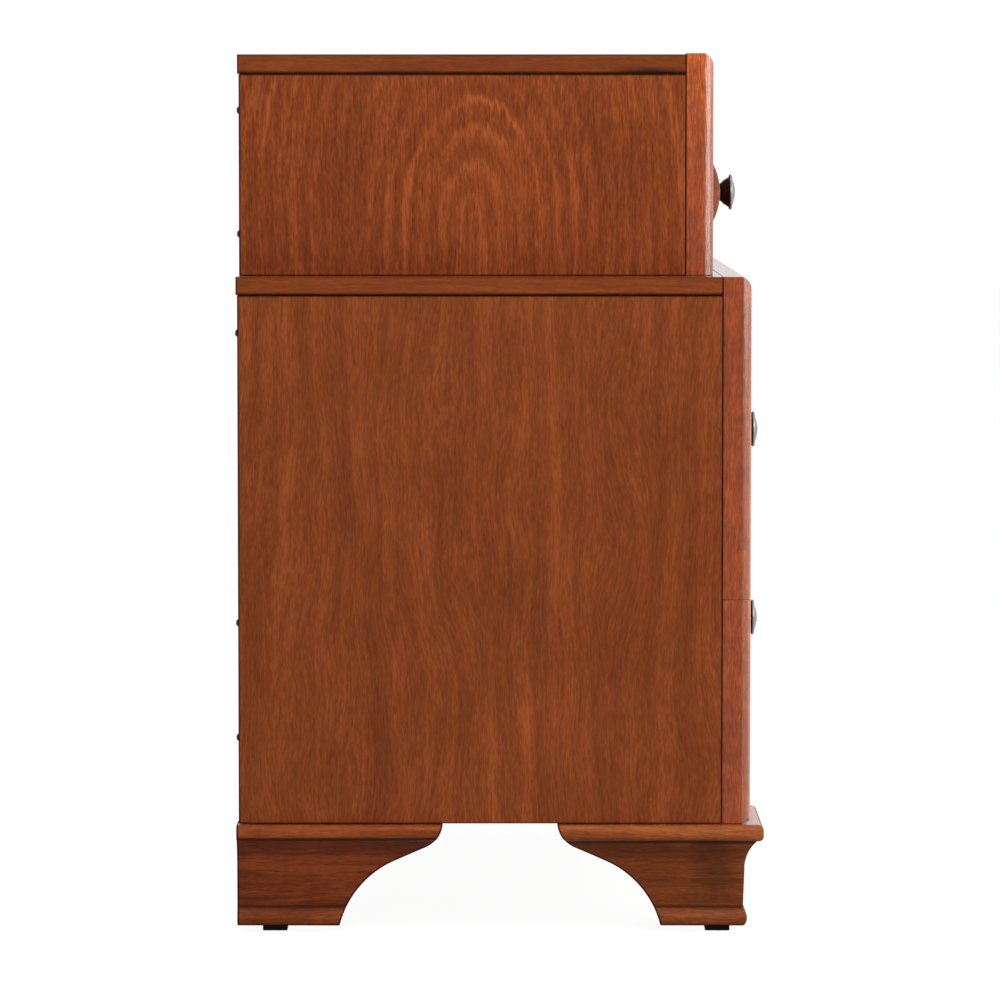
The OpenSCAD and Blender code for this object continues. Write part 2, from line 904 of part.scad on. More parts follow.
// Side view of a glide's pad, with its lower edge bevelled
module glide_outline() {
    half = glide_w / 2;
    top = glide_h - glue_gap;
    polygon([[-half + glide_bevel, 0], [half - glide_bevel, 0], [half, glide_bevel], [half, top], [-half, top],
             [-half, glide_bevel]]);
}

// Glides: a square pad and the nail that holds it
module glides() {
    color(BLACK)
        glide_places() {
            intersection() {
                along_x(-glide_w, glide_w)
                    glide_outline();
                along_y(-glide_w, glide_w)
                    glide_outline();
            }
            translate([0, 0, glide_h - glue_gap - eps])
                cylinder(h = nail_l, r = nail_d / 2);
        }
}

// Outline of n tails from z0 to z1. They start at 0 and end at len, widened by
// grow on each side.
module tails(z0, z1, n, len, grow) {
    pitch = (z1 - z0) / n;
    root = pitch * tail_share / 2 + grow;
    tip = root + tail_flare * len;
    for (i = [0 : n - 1])
        translate([0, z0 + (i + 0.5) * pitch])
            polygon([[-past, -root], [0, -root], [len + grow, -tip], [len + grow, tip], [0, root], [-past, root]]);
}

// The long groove for the drawer bottom, through the front and the sides
module bottom_groove(d) {
    half = box_w(d) / 2 - drawer_side_t + groove_d;
    block([-half, front_back_y(d) - groove_d, groove_z(d) - glue_gap],
          [half, drawer_end + past, groove_z(d) + drawer_bottom_t + glue_gap]);
}

// Sockets for the front tails of both drawer sides
module front_sockets(d) {
    depth = drawer_side_t + tail_gap;
    for (side = [0, 1])
        mirror([side, 0, 0])
            along_x(-box_w(d) / 2 - past, -box_w(d) / 2 + depth)
                translate([front_back_y(d), 0])
                    mirror([1, 0])
                        tails(box_z(d), side_top(d), front_tails, d[5], tail_gap);
}

// Bore for the knob's screw through a drawer front
module knob_bore(d, z) {
    translate([0, front_back_y(d) + past, z])
        rotate([90, 0, 0])
            cylinder(h = far, r = knob_screw_d / 2 + screw_gap);
}

module flat_front(d) {
    color(CHERRY)
        difference() {
            block([-box_w(d) / 2, d[3] + front_recess, box_z(d)],
                  [box_w(d) / 2, front_back_y(d), open_top(d) - reveal]);
            front_sockets(d);
            bottom_groove(d);
            knob_bore(d, d[1] + d[2] / 2);
        }
}

// Ogee section: a convex roll below and a concave cove above
module ogee_section() {
    intersection() {
        translate([roll_y, roll_z])
            circle(roll_r);
        translate([-roll_proud - past, reveal])
            square([ogee_back + roll_proud + past, turn_z - reveal]);
    }
    difference() {
        translate([turn_y, turn_z - eps])
            square([ogee_back - turn_y, ogee_top - turn_z + eps]);
        translate([front_cove_y, turn_z + cove_half])
            circle(front_cove_r);
    }
}

module upper_drawer_front() {
    color(CHERRY)
        difference() {
            along_x(-box_w(UPPER) / 2, box_w(UPPER) / 2)
                translate([front_step, upper_open_z])
                    ogee_section();
            front_sockets(UPPER);
            bottom_groove(UPPER);
            knob_bore(UPPER, upper_knob_z);
            // Flat seat for the knob's base on the roll
            translate([0, upper_knob_y, upper_knob_z])
                rotate([90, 0, 0])
                    cylinder(h = roll_proud + past, r = knob_seat_d / 2);
        }
}

// Left drawer side with its dovetails and the groove for the bottom
module drawer_side(d) {
    front_y = front_back_y(d) + glue_gap;
    back_y = drawer_end - drawer_back_t - glue_gap;
    color(BIRCH)
        difference() {
            along_x(-box_w(d) / 2, -box_w(d) / 2 + drawer_side_t)
                union() {
                    translate([front_y, box_z(d)])
                        square([back_y - front_y, side_top(d) - box_z(d)]);
                    translate([back_y - past, box_z(d)])
                        square([drawer_end - back_y + past, back_z(d) - glue_gap - box_z(d)]);
                    translate([front_y, 0])
                        mirror([1, 0])
                            tails(box_z(d), side_top(d), front_tails, d[5], 0);
                    translate([back_y, 0])
                        tails(back_z(d), back_top(d), back_tails, drawer_end - back_y, 0);
                }
            bottom_groove(d);
        }
}

// Drawer back with sockets for the back tails
module drawer_back(d) {
    back_y = drawer_end - drawer_back_t;
    color(BIRCH)
        difference() {
            block([-box_w(d) / 2, back_y, back_z(d)], [box_w(d) / 2, drawer_end, back_top(d)]);
            for (side = [0, 1])
                mirror([side, 0, 0])
                    along_x(-box_w(d) / 2 - past, -box_w(d) / 2 + drawer_side_t + tail_gap)
                        translate([back_y - glue_gap, 0])
                            tails(back_z(d), back_top(d), back_tails, drawer_back_t + glue_gap + past, tail_gap);
        }
}

module drawer_bottom(d) {
    half = box_w(d) / 2 - drawer_side_t + groove_d - glue_gap;
    color(BIRCH)
        block([-half, front_back_y(d) - groove_d + glue_gap, groove_z(d)],
              [half, drawer_end, groove_z(d) + drawer_bottom_t]);
}

// Stop that meets the back of the rail above when the drawer is fully out
module drawer_stop(d) {
    top = open_top(d) + stop_reach;
    color(BIRCH)
        block([-stop_w / 2, stop_face, top - stop_h], [stop_w / 2, stop_face + stop_t, top]);
}

module upper_drawer_side_left() {
    drawer_side(UPPER);
}

module upper_drawer_side_right() {
    other_side()
        drawer_side(UPPER);
}

module upper_drawer_back() {
    drawer_back(UPPER);
}

module upper_drawer_bottom() {
    drawer_bottom(UPPER);
}

module upper_drawer_stop() {
    drawer_stop(UPPER);
}

module middle_drawer_front() {
    flat_front(MIDDLE);
}

module middle_drawer_side_left() {
    drawer_side(MIDDLE);
}

module middle_drawer_side_right() {
    other_side()
        drawer_side(MIDDLE);
}

module middle_drawer_back() {
    drawer_back(MIDDLE);
}

module middle_drawer_bottom() {
    drawer_bottom(MIDDLE);
}

module middle_drawer_stop() {
    drawer_stop(MIDDLE);
}

module lower_drawer_front() {
    flat_front(LOWER);
}

module lower_drawer_side_left() {
    drawer_side(LOWER);
}

module lower_drawer_side_right() {
    other_side()
        drawer_side(LOWER);
}

module lower_drawer_back() {
    drawer_back(LOWER);
}

module lower_drawer_bottom() {
    drawer_bottom(LOWER);
}

module lower_drawer_stop() {
    drawer_stop(LOWER);
}

// Half section of a knob: distance from the axis, then from the seat. A stepped
// cone opens from the neck to a rounded rim, and a low dome closes the front.
module knob_section() {
    rim_r = 1.5;
    base_h = 2.5;
    neck_z = 7;
    cone_r = knob_d / 2 - rim_r;
    step_z = (neck_z + knob_rim) / 2;
    step_r = (knob_neck_d / 2 + cone_r) / 2;
    dome_h = knob_l - knob_rim - 1.2;
    dome_foot_r = cone_r - 2.2;
    dome_r = (dome_foot_r * dome_foot_r + dome_h * dome_h) / (2 * dome_h);
    // Base and neck
    square([knob_base_d / 2, base_h]);
    polygon([[0, 0], [knob_base_d / 2 - 1, base_h], [knob_neck_d / 2, neck_z - 1], [knob_neck_d / 2, neck_z + 2],
             [0, neck_z + 2]]);
    // Stepped cone
    polygon([[0, neck_z], [knob_neck_d / 2, neck_z], [step_r - 0.6, step_z - 1], [step_r + 0.8, step_z],
             [cone_r - 0.8, knob_rim - 1.5], [cone_r, knob_rim], [cone_r - 1, knob_l - dome_h], [0, knob_l - dome_h]]);
    // Rim
    translate([cone_r, knob_rim])
        circle(rim_r);
    // Dome
    intersection() {
        translate([0, knob_l - dome_r])
            circle(dome_r);
        translate([0, knob_l - dome_h - eps])
            square([dome_foot_r, dome_h + 2 * eps]);
    }
}

// A knob whose seat is at y, pointing to the front
module knob(y, z) {
    color(BRONZE)
        translate([0, y - glue_gap, z])
            rotate([90, 0, 0])
                difference() {
                    rotate_extrude()
                        intersection() {
                            knob_section();
                            square([knob_d, knob_l + past]);
                        }
                    translate([0, 0, -past])
                        cylinder(h = knob_hole_l + past, r = knob_screw_d / 2 + screw_gap);
                }
}

// Machine screw through a drawer front into its knob
module knob_screw(d, seat_y, z) {
    head_y = front_back_y(d) + glue_gap;
    color(STEEL)
        translate([0, head_y, z])
            rotate([90, 0, 0])
                union() {
                    translate([0, 0, -knob_screw_head_h])
                        cylinder(h = knob_screw_head_h, r = knob_screw_head_d / 2);
                    translate([0, 0, -eps])
                        cylinder(h = head_y - seat_y + knob_hole_l - 2, r = knob_screw_d / 2);
                }
}

module upper_knob() {
    knob(upper_knob_y, upper_knob_z);
}

module upper_knob_screw() {
    knob_screw(UPPER, upper_knob_y, upper_knob_z);
}

module middle_knob() {
    knob(front_recess, middle_knob_z);
}

module middle_knob_screw() {
    knob_screw(MIDDLE, front_recess, middle_knob_z);
}

module lower_knob() {
    knob(front_recess, lower_knob_z);
}

module lower_knob_screw() {
    knob_screw(LOWER, front_recess, lower_knob_z);
}

translate([0, -mid_y, 0]) {
    upper_top();
    upper_side_left();
    upper_side_right();
    upper_stile_left();
    upper_stile_right();
    upper_top_rail();
    upper_bottom_rail();
    upper_back_panel();
    upper_runner_left();
    upper_runner_right();
    lower_top();
    lower_side_left();
    lower_side_right();
    lower_stile_left_head();
    lower_stile_left_foot();
    lower_stile_right();
    lower_top_rail();
    lower_mid_rail();
    lower_bottom_rail();
    lower_back_panel();
    case_bottom();
    middle_runner_left();
    middle_runner_right();
    lower_runner_left();
    lower_runner_right();
    tier_screws();
    back_screws();
    foot_front_left_side();
    foot_front_left_front();
    foot_front_right_side();
    foot_front_right_front();
    foot_rear_left_side();
    foot_rear_right_side();
    foot_rear_boards();
    foot_blocks();
    glides();
    upper_drawer_front();
    upper_drawer_side_left();
    upper_drawer_side_right();
    upper_drawer_back();
    upper_drawer_bottom();
    upper_drawer_stop();
    upper_knob();
    upper_knob_screw();
    middle_drawer_front();
    middle_drawer_side_left();
    middle_drawer_side_right();
    middle_drawer_back();
    middle_drawer_bottom();
    middle_drawer_stop();
    middle_knob();
    middle_knob_screw();
    lower_drawer_front();
    lower_drawer_side_left();
    lower_drawer_side_right();
    lower_drawer_back();
    lower_drawer_bottom();
    lower_drawer_stop();
    lower_knob();
    lower_knob_screw();
}
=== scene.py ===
"""A two-tier nightstand: its finishes, its softened edges and the pale stage that it stands on."""

import json
import math
from functools import partial

import bmesh
import bpy
from bpy.props import FloatProperty, FloatVectorProperty, PointerProperty
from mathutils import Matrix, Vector


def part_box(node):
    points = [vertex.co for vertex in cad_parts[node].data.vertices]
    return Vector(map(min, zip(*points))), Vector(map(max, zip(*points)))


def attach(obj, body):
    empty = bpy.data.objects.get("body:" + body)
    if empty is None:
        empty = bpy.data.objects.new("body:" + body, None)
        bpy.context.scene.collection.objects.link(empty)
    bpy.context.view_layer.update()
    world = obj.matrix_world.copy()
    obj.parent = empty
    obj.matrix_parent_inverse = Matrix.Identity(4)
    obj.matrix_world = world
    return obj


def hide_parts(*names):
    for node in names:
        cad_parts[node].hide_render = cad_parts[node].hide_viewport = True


bl_info = {
    "name": "Two-tier nightstand",
    "version": (1, 0, 0),
    "blender": (4, 5, 0),
    "location": "3D View > Sidebar > Nightstand",
    "description": "Finishes a two-tier nightstand in stained veneer and stands it on a pale stage",
    "category": "Object",
}

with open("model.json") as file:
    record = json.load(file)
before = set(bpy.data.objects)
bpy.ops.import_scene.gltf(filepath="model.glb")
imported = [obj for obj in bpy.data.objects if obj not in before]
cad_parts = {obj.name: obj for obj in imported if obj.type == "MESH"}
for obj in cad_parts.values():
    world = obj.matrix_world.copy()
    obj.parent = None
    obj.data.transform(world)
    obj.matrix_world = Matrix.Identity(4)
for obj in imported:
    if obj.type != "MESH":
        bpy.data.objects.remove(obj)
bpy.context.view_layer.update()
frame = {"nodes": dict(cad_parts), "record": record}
MM = 0.001

DRAWERS = ("upper", "middle", "lower")
SIDES = ("left", "right")

# Points closer than this, in metres, are one point, and faces within this angle are one flat face
WELD = 2e-6
FLAT = math.radians(0.4)
# Edges that turn by more degrees than this are softened
SHARP = 28.0
# Part of a face's normal from which the face counts as turned to that axis, and as looking up
TURNED = 0.8
UPWARD = 0.9

# Softening of pieces that aren't boards, feet or fasteners
FRAME_EDGE = 0.4 * MM
DRAWER_EDGE = 0.35 * MM
PLYWOOD_EDGE = 0.3 * MM
STOCK_EDGE = 0.6 * MM
KNOB_EDGE = 0.25 * MM

ZINC = "#a7a8ab"

# Camera: lens in millimetres, degrees that it looks down, and its place in depth
LENS = 191.8
TILT = 4.08
CAMERA_Y = 4.45 * MM
FLOOR_SIZE = 36.0
# Lamps: name, place, the point that it faces, width and height in metres, watts
SOFT_BOXES = (
    ("key_soft_box", (-3.2, -0.5, 2.4), (0, 0, 0.35), 2.4, 1.6, 55),
    ("front_soft_box", (-0.6, -2.8, 1.2), (0, 0, 0.4), 2.1, 1.6, 50),
    ("top_soft_box", (0.0, 0.0, 3.4), (0, 0, 0), 2.2, 2.2, 27),
)


def linear(hex_colour):
    """An sRGB hex colour as the linear colour that shaders take."""
    channels = [int(hex_colour[i:i + 2], 16) / 255 for i in (1, 3, 5)]
    return tuple(c / 12.92 if c <= 0.04045 else ((c + 0.055) / 1.055) ** 2.4 for c in channels) + (1.0,)


def body_of(name):
    """The moving body that a CAD node belongs to."""
    for body, members in frame["record"]["behaviour"]["bodies"].items():
        if name in members:
            return body
    raise ValueError(f"no body holds {name}")


class NightstandSizes(bpy.types.PropertyGroup):
    """Sizes that the eye reads at the edges and in the grain."""

    board_edge: FloatProperty(
        name="Board edge", description="Softening of the boards' edges",
        default=0.5 * MM, min=0.1 * MM, max=2 * MM, unit="LENGTH")
    foot_edge: FloatProperty(
        name="Foot edge", description="Softening of the sawn edges of the feet",
        default=1.4 * MM, min=0.1 * MM, max=2 * MM, unit="LENGTH")
    metal_edge: FloatProperty(
        name="Metal edge", description="Softening of the edges of screws and glides",
        default=0.15 * MM, min=0.05 * MM, max=0.5 * MM, unit="LENGTH")
    # Real pores are a few tenths of a millimetre wide, too fine for the render. They are drawn as
    # streaks that are as coarse as they need to be to show.
    pore_width: FloatProperty(
        name="Pore width", description="Spacing of the pore streaks across, millimetres",
        default=1.5, min=0.3, max=6)
    pore_length: FloatProperty(
        name="Pore length", description="Spacing of the pore streaks along, millimetres",
        default=16, min=3, max=60)
    camera_distance: FloatProperty(
        name="Camera distance", description="From the near side of the lower case",
        default=4.6, min=1, max=20, unit="LENGTH")
    camera_height: FloatProperty(
        name="Camera height", description="Above the floor",
        default=0.7071, min=0.1, max=3, unit="LENGTH")


class NightstandColours(bpy.types.PropertyGroup):
    """Colours of the finishes."""

    veneer: FloatVectorProperty(
        name="Veneer", description="Middle tone of the stained veneer",
        subtype="COLOR", size=4, min=0, max=1, default=linear("#823d15"))
    banding: FloatVectorProperty(
        name="Edge banding", description="Middle tone of the top boards' edges",
        subtype="COLOR", size=4, min=0, max=1, default=linear("#7e3b15"))
    solid: FloatVectorProperty(
        name="Frame", description="Middle tone of the solid face frames",
        subtype="COLOR", size=4, min=0, max=1, default=linear("#963f0e"))
    foot: FloatVectorProperty(
        name="Foot", description="Middle tone of the feet",
        subtype="COLOR", size=4, min=0, max=1, default=linear("#6b3012"))
    # Glazing along the joints; the same colour paints the shade in the joints and creases
    glaze_and_shade: FloatVectorProperty(
        name="Glaze", description="Dark stain that gathers along the joints",
        subtype="COLOR", size=4, min=0, max=1, default=linear("#1c0b05"))
    bronze: FloatVectorProperty(
        name="Bronze", description="Dark bronze of the knobs",
        subtype="COLOR", size=4, min=0, max=1, default=linear("#251a17"))
    birch: FloatVectorProperty(
        name="Birch", description="Plain birch of the drawer boxes",
        subtype="COLOR", size=4, min=0, max=1, default=linear("#d2b083"))


def sizes():
    """The size settings of the scene."""
    return bpy.context.scene.nightstand_sizes


def colours():
    """The colour settings of the scene."""
    return bpy.context.scene.nightstand_colours


def fill(tree, node, inputs):
    """Fills or links a node's inputs. A node as a value stands for its first output."""
    for name, value in inputs.items():
        if isinstance(value, bpy.types.Node):
            value = value.outputs[0]
        if isinstance(value, bpy.types.NodeSocket):
            tree.links.new(value, node.inputs[name])
        else:
            node.inputs[name].default_value = value


def add(tree, kind, inputs=(), stops=(), **settings):
    """Adds a shader node with its settings and links. inputs is a dict by name or number, or a list in
    the node's own order, and stops lists the (place, colour or grey) of a colour ramp."""
    made = tree.nodes.new("ShaderNode" + kind)
    for name, value in settings.items():
        setattr(made, name, value)
    fill(tree, made, inputs if isinstance(inputs, dict) else dict(enumerate(inputs)))
    if stops:
        elements = made.color_ramp.elements
        while len(elements) < len(stops):
            elements.new(0.5)
        for element, (place, value) in zip(elements, stops):
            element.position = place
            element.color = value if isinstance(value, tuple) else (value, value, value, 1.0)
    return made


def new_material(name):
    """An empty material with its node tree and Principled shader."""
    material = bpy.data.materials.new(name)
    material.use_nodes = True
    tree = material.node_tree
    return material, tree, tree.nodes["Principled BSDF"]


def millimetres(tree):
    """Object coordinates in millimetres, so that a finish moves with its piece."""
    place = add(tree, "TexCoord").outputs["Object"]
    return add(tree, "VectorMath", [place, (1000, 1000, 1000)], operation="MULTIPLY")


def grain_coordinates(tree, along):
    """Millimetres by axis, then across the grain, in depth and along it, and these three together."""
    split = add(tree, "SeparateXYZ", [millimetres(tree)])
    order = {"X": ("Z", "Y", "X"), "Y": ("Z", "X", "Y"), "Z": ("Y", "X", "Z")}[along]
    grain = [split.outputs[axis] for axis in order]
    return split, grain, add(tree, "CombineXYZ", grain)


def tinted(colour, red, green, blue):
    """A colour with each channel scaled."""
    return (colour[0] * red, colour[1] * green, colour[2] * blue, 1.0)


def stained_wood(name, along, tone, seed=0.0, period=28.0, wander=14.0, arch=None, bands=0.45,
                 dashes=1.1, clouds=0.5, sweep=0.0, streaks=0.0, mottle=0.0, glaze_and_shade=(), pale=(),
                 gloss=0.42, specular=0.12, relief=0.12):
    """Rotary-cut hardwood, stained and lacquered to a satin sheen. The stain darkens the pores to short
    dashes, the figure shows as soft paler bands, and dark lines of glazing lie along the joints and
    creases, where they also paint the shade that falls there.

    seed moves the figure. period is the spacing of its bands and wander is how far the fibres lean, in
    millimetres. arch is (centre across, top along) of a cathedral figure. bands, dashes, clouds, sweep,
    streaks and mottle are the strengths of the layers. glaze lists (axis, place, width, strength) of
    dark lines of glazing and painted shade, with a second (axis, place, width) where a line is only a
    patch, and pale lists (axis, place, width, gain) of stretches of painted light and highlights."""
    material, tree, shader = new_material(name)
    put = partial(add, tree)
    width = sizes().pore_width
    length = sizes().pore_length
    split, (across, depth, run), straight = grain_coordinates(tree, along)

    def stretched(source, wide, long, detail=2.0, rough=0.5):
        """Flecks of this size across and along the grain, in millimetres."""
        scaled = put("VectorMath", [source, (1 / wide, 1 / wide, 1 / long)], operation="MULTIPLY")
        return put("TexNoise", {"Vector": scaled, "Scale": 1.0, "Detail": detail, "Roughness": rough})

    # The fibres lean: a slow noise moves them sideways
    start = put("VectorMath", [straight, (seed, seed * 0.37, seed * 1.7)], operation="ADD")
    lean = put("Math", [stretched(start, 90, 210, 1.0), 0.5], operation="SUBTRACT")
    lean = put("Math", [lean, wander * 2.0], operation="MULTIPLY")
    grain = put("VectorMath", [start, put("CombineXYZ", [lean])], operation="ADD")

    # Distance from the heart of the figure: a line for straight grain, a rounded top for an arch
    if arch:
        centre, top = arch
        aside = put("Math", [across, centre], operation="SUBTRACT")
        above = put("Math", [run, top], operation="SUBTRACT")
        above = put("Math", [above, 0.0], operation="MAXIMUM")
        above = put("Math", [above, 0.6], operation="MULTIPLY")
        squares = [put("Math", [leg, leg], operation="MULTIPLY") for leg in (aside, above)]
        reach = put("Math", [put("Math", squares, operation="ADD")], operation="SQRT")
    else:
        deeper = put("Math", [depth, 0.6], operation="MULTIPLY")
        reach = put("Math", [across, deeper], operation="ADD")
    jagged = put("Math", [stretched(grain, 2.6, 30.0, 2.0), 0.5], operation="SUBTRACT")
    jagged = put("Math", [jagged, 6.0 + period * 0.55], operation="MULTIPLY")
    leaning = put("Math", [reach, lean], operation="ADD")
    place = put("Math", [leaning, put("Math", [jagged, 3.0], operation="ADD")], operation="ADD")

    # Bands around the heart, with finer threads between them, stronger in some places than in others
    wave = put("Math", [place, 2 * math.pi / period], operation="MULTIPLY")
    wave = put("Math", [wave], operation="COSINE")
    crest = put("Math", [wave, 0.5, 0.5], operation="MULTIPLY_ADD")
    crest = put("Math", [crest, 2.2], operation="POWER")
    uneven = put("CombineXYZ", [put("Math", [place, period * 0.30], operation="DIVIDE"),
                                put("Math", [run, 320.0], operation="DIVIDE"), seed])
    thread = put("TexNoise", {"Vector": uneven, "Scale": 1.0, "Detail": 2.0})
    thread = put("ValToRGB", [thread], stops=[(0.50, 0.0), (0.70, 1.0)])
    strong = put("ValToRGB", [stretched(start, 55, 120, 1.0)], stops=[(0.36, 0.35), (0.64, 1.0)])
    thread = put("Math", [thread, 0.6], operation="MULTIPLY")
    figure = put("Math", [crest, 0.55, thread], operation="MULTIPLY_ADD")
    figure = put("Math", [figure, strong], operation="MULTIPLY")

    # Layers from pores to clouds, around a level that keeps the middle tone in the middle
    pores = stretched(grain, width, length, 2.0, 0.6)
    fine = stretched(grain, width * 0.62, length * 0.40, 1.0)
    fibre = stretched(grain, width * 1.7, length * 8.0, 2.0, 0.6)
    cloud = stretched(start, 52, 96, 3.0, 0.55)
    dash = put("ValToRGB", [pores], stops=[(0.36, 0.0), (0.58, 1.0)])
    layers = [(figure, bands), (dash, dashes * 0.30), (fine, dashes * 0.9), (fibre, 0.40),
              (cloud, clouds)]
    if mottle:
        layers.append((stretched(start, 16, 9, 2.0), mottle))
    if sweep:
        layers.append((stretched(grain, 15, 240, 4.0, 0.55), sweep))
    level = 0.5 - 0.5 * sum(weight for layer, weight in layers) + 0.14 * bands
    for layer, weight in layers:
        level = put("Math", [layer, weight, level], operation="MULTIPLY_ADD")
    shade = put("ValToRGB", [level], stops=[(0.0, tinted(tone, 0.50, 0.44, 0.36)), (0.5, tuple(tone)),
                                            (1.0, tinted(tone, 1.75, 1.95, 2.5))])
    if streaks:
        line = put("ValToRGB", [stretched(start, 4.5, 60.0, 3.0, 0.55)],
                   stops=[(0.32, 1 - streaks), (0.46, 1.0)])
        shade = put("Mix", {0: 1.0, 6: shade, 7: line}, data_type="RGBA",
                    blend_type="MULTIPLY").outputs[2]

    # Stretches of painted light and the lines of glazing and painted shade fade out over a ragged width
    ragged = put("Math", [stretched(start, 9, 40, 2.0), 0.9, 0.55], operation="MULTIPLY_ADD")

    def near(axis, spot, wide):
        """1 at a place on an axis, falling to 0 at this width from it."""
        off = put("Math", [split.outputs[axis], spot], operation="SUBTRACT")
        off = put("Math", [off], operation="ABSOLUTE")
        reached = put("Math", [ragged, wide], operation="MULTIPLY")
        off = put("Math", [off, reached], operation="DIVIDE")
        return put("Math", [1.0, off], operation="SUBTRACT", use_clamp=True)

    # Painted light: each stretch is lifted paler and whiter, standing in for stronger light and for
    # highlights
    for axis, spot, wide, gain in pale:
        lift = put("Mix", {0: near(axis, spot, wide), 6: (1.0, 1.0, 1.0, 1.0),
                           7: (1 + gain, 1 + 1.3 * gain, 1 + 1.8 * gain, 1.0)},
                   data_type="RGBA").outputs[2]
        shade = put("Mix", {0: 1.0, 6: shade, 7: lift}, data_type="RGBA",
                    blend_type="MULTIPLY").outputs[2]
    # Lines of glazing, which also paint the shade in the joints and creases
    for axis, spot, wide, strength, *patch in glaze_and_shade:
        close = near(axis, spot, wide)
        if patch:
            close = put("Math", [close, near(*patch)], operation="MULTIPLY")
        eased = put("Math", [2.0, close], operation="SUBTRACT")
        eased = put("Math", [close, eased], operation="MULTIPLY")
        eased = put("Math", [eased, strength], operation="MULTIPLY", use_clamp=True)
        shade = put("Mix", {0: eased, 6: shade, 7: tuple(colours().glaze_and_shade)},
                    data_type="RGBA").outputs[2]

    rough = put("Math", [pores, -0.12, gloss + 0.06], operation="MULTIPLY_ADD")
    height = put("Math", [put("Math", [pores, 0.7], operation="MULTIPLY"),
                          put("Math", [fibre, 0.3], operation="MULTIPLY")], operation="ADD")
    bump = put("Bump", {"Height": height, "Strength": relief, "Distance": 0.3 * MM})
    fill(tree, shader, {"Base Color": shade, "Roughness": rough, "Normal": bump, "IOR": 1.5,
                        "Specular IOR Level": specular})
    return material


def dark_rim():
    """Edges with glazing and with painted shade of the rounded edges: nearly black brown, dull, a little
    rubbed through to the stain.
    """
    name = "glazed_edge"
    if name in bpy.data.materials:
        return bpy.data.materials[name]
    material, tree, shader = new_material(name)
    # Worn spots of about 11 mm
    wear_and_highlight = add(tree, "TexNoise", {"Vector": millimetres(tree), "Scale": 0.09, "Detail": 4.0})
    shade = add(tree, "ValToRGB", [wear_and_highlight], stops=[(0.42, tuple(colours().glaze_and_shade)),
                                                 (0.80, linear("#4a2010"))])
    rough = add(tree, "ValToRGB", [wear_and_highlight], stops=[(0.3, 0.62), (0.7, 0.5)])
    fill(tree, shader, {"Base Color": shade, "Roughness": rough, "Specular IOR Level": 0.0})
    return material


def lacquered_upper_face():
    """Upward faces of solid pieces: the lacquer pooled there and dried glossier."""
    name = "lacquered_upper_face"
    if name in bpy.data.materials:
        return bpy.data.materials[name]
    return stained_wood(name, "X", colours().solid, seed=71, period=18, gloss=0.14, specular=0.5)


def birch_wood(name, along, colour, seed=0.0):
    """Plain birch, sanded and sealed: pale, close-grained, with faint long streaks and little shine."""
    material, tree, shader = new_material(name)
    straight = grain_coordinates(tree, along)[-1]
    moved = add(tree, "VectorMath", [straight, (seed, seed, seed)], operation="ADD")
    shade = tuple(colour)
    height = None
    # Width and length of the streaks in millimetres, and how far they darken and lighten the wood
    for wide, long, dark, light in ((2.2, 90, 0.84, 1.06), (14, 260, 0.86, 1.05), (0.9, 12, 0.90, 1.03)):
        scaled = add(tree, "VectorMath", [moved, (1 / wide, 1 / wide, 1 / long)], operation="MULTIPLY")
        tone = add(tree, "TexNoise", {"Vector": scaled, "Scale": 1.0, "Detail": 3.0})
        height = height or tone
        factor = add(tree, "ValToRGB", [tone], stops=[(0.32, dark), (0.68, light)])
        shade = add(tree, "Mix", {0: 1.0, 6: shade, 7: factor}, data_type="RGBA",
                    blend_type="MULTIPLY").outputs[2]
    bump = add(tree, "Bump", {"Height": height, "Strength": 0.12, "Distance": 0.3 * MM})
    fill(tree, shader, {"Base Color": shade, "Normal": bump, "Roughness": 0.58})
    return material


def antique_bronze(name, colour, bright):
    """Cast zinc plated in dark bronze and rubbed back: brown-black in the hollows, pewter-bright where
    fingers and cloth reach it, with a soft cast texture."""
    material, tree, shader = new_material(name)
    # Cast texture of about 2.2 mm
    cast = add(tree, "TexNoise", {"Vector": millimetres(tree), "Scale": 0.45, "Detail": 4.0})
    edge = add(tree, "NewGeometry").outputs["Pointiness"]
    wear_and_highlight = add(tree, "ValToRGB", [edge], stops=[(0.49, 0.0), (0.56, 1.0)])
    patch = add(tree, "ValToRGB", [cast], stops=[(0.40, 0.35), (0.66, 1.0)])
    rubbed = add(tree, "Math", [wear_and_highlight, patch], operation="MULTIPLY")
    base = add(tree, "Mix", {0: rubbed, 6: tuple(colour), 7: bright}, data_type="RGBA").outputs[2]
    rough = add(tree, "ValToRGB", [cast], stops=[(0.30, 0.30), (0.70, 0.46)])
    bump = add(tree, "Bump", {"Height": cast, "Strength": 0.12, "Distance": 0.4 * MM})
    fill(tree, shader, {"Base Color": base, "Roughness": rough, "Normal": bump, "Metallic": 0.9})
    return material


def plated_steel(name, colour):
    """Zinc-plated steel wire, cold-headed: grey, with fine wandering marks."""
    material, tree, shader = new_material(name)
    # Marks of about 0.6 mm
    marks = add(tree, "TexNoise", {"Vector": millimetres(tree), "Scale": 1.6, "Detail": 3.0})
    shade = add(tree, "ValToRGB", [marks], stops=[(0.3, tinted(colour, 0.7, 0.7, 0.7)), (0.7, colour)])
    rough = add(tree, "ValToRGB", [marks], stops=[(0.3, 0.32), (0.7, 0.48)])
    fill(tree, shader, {"Base Color": shade, "Roughness": rough, "Metallic": 1.0})
    return material


def black_polyethylene(name):
    """Moulded polyethylene: near black, waxy, scuffed where it has slid over floors."""
    material, tree, shader = new_material(name)
    # Scuffs of about 1.2 mm
    scuff = add(tree, "TexNoise", {"Vector": millimetres(tree), "Scale": 0.8, "Detail": 5.0})
    shade = add(tree, "ValToRGB", [scuff], stops=[(0.35, linear("#050404")), (0.75, linear("#0f0d0c"))])
    rough = add(tree, "ValToRGB", [scuff], stops=[(0.3, 0.5), (0.7, 0.66)])
    fill(tree, shader, {"Base Color": shade, "Roughness": rough, "Specular IOR Level": 0.1})
    return material


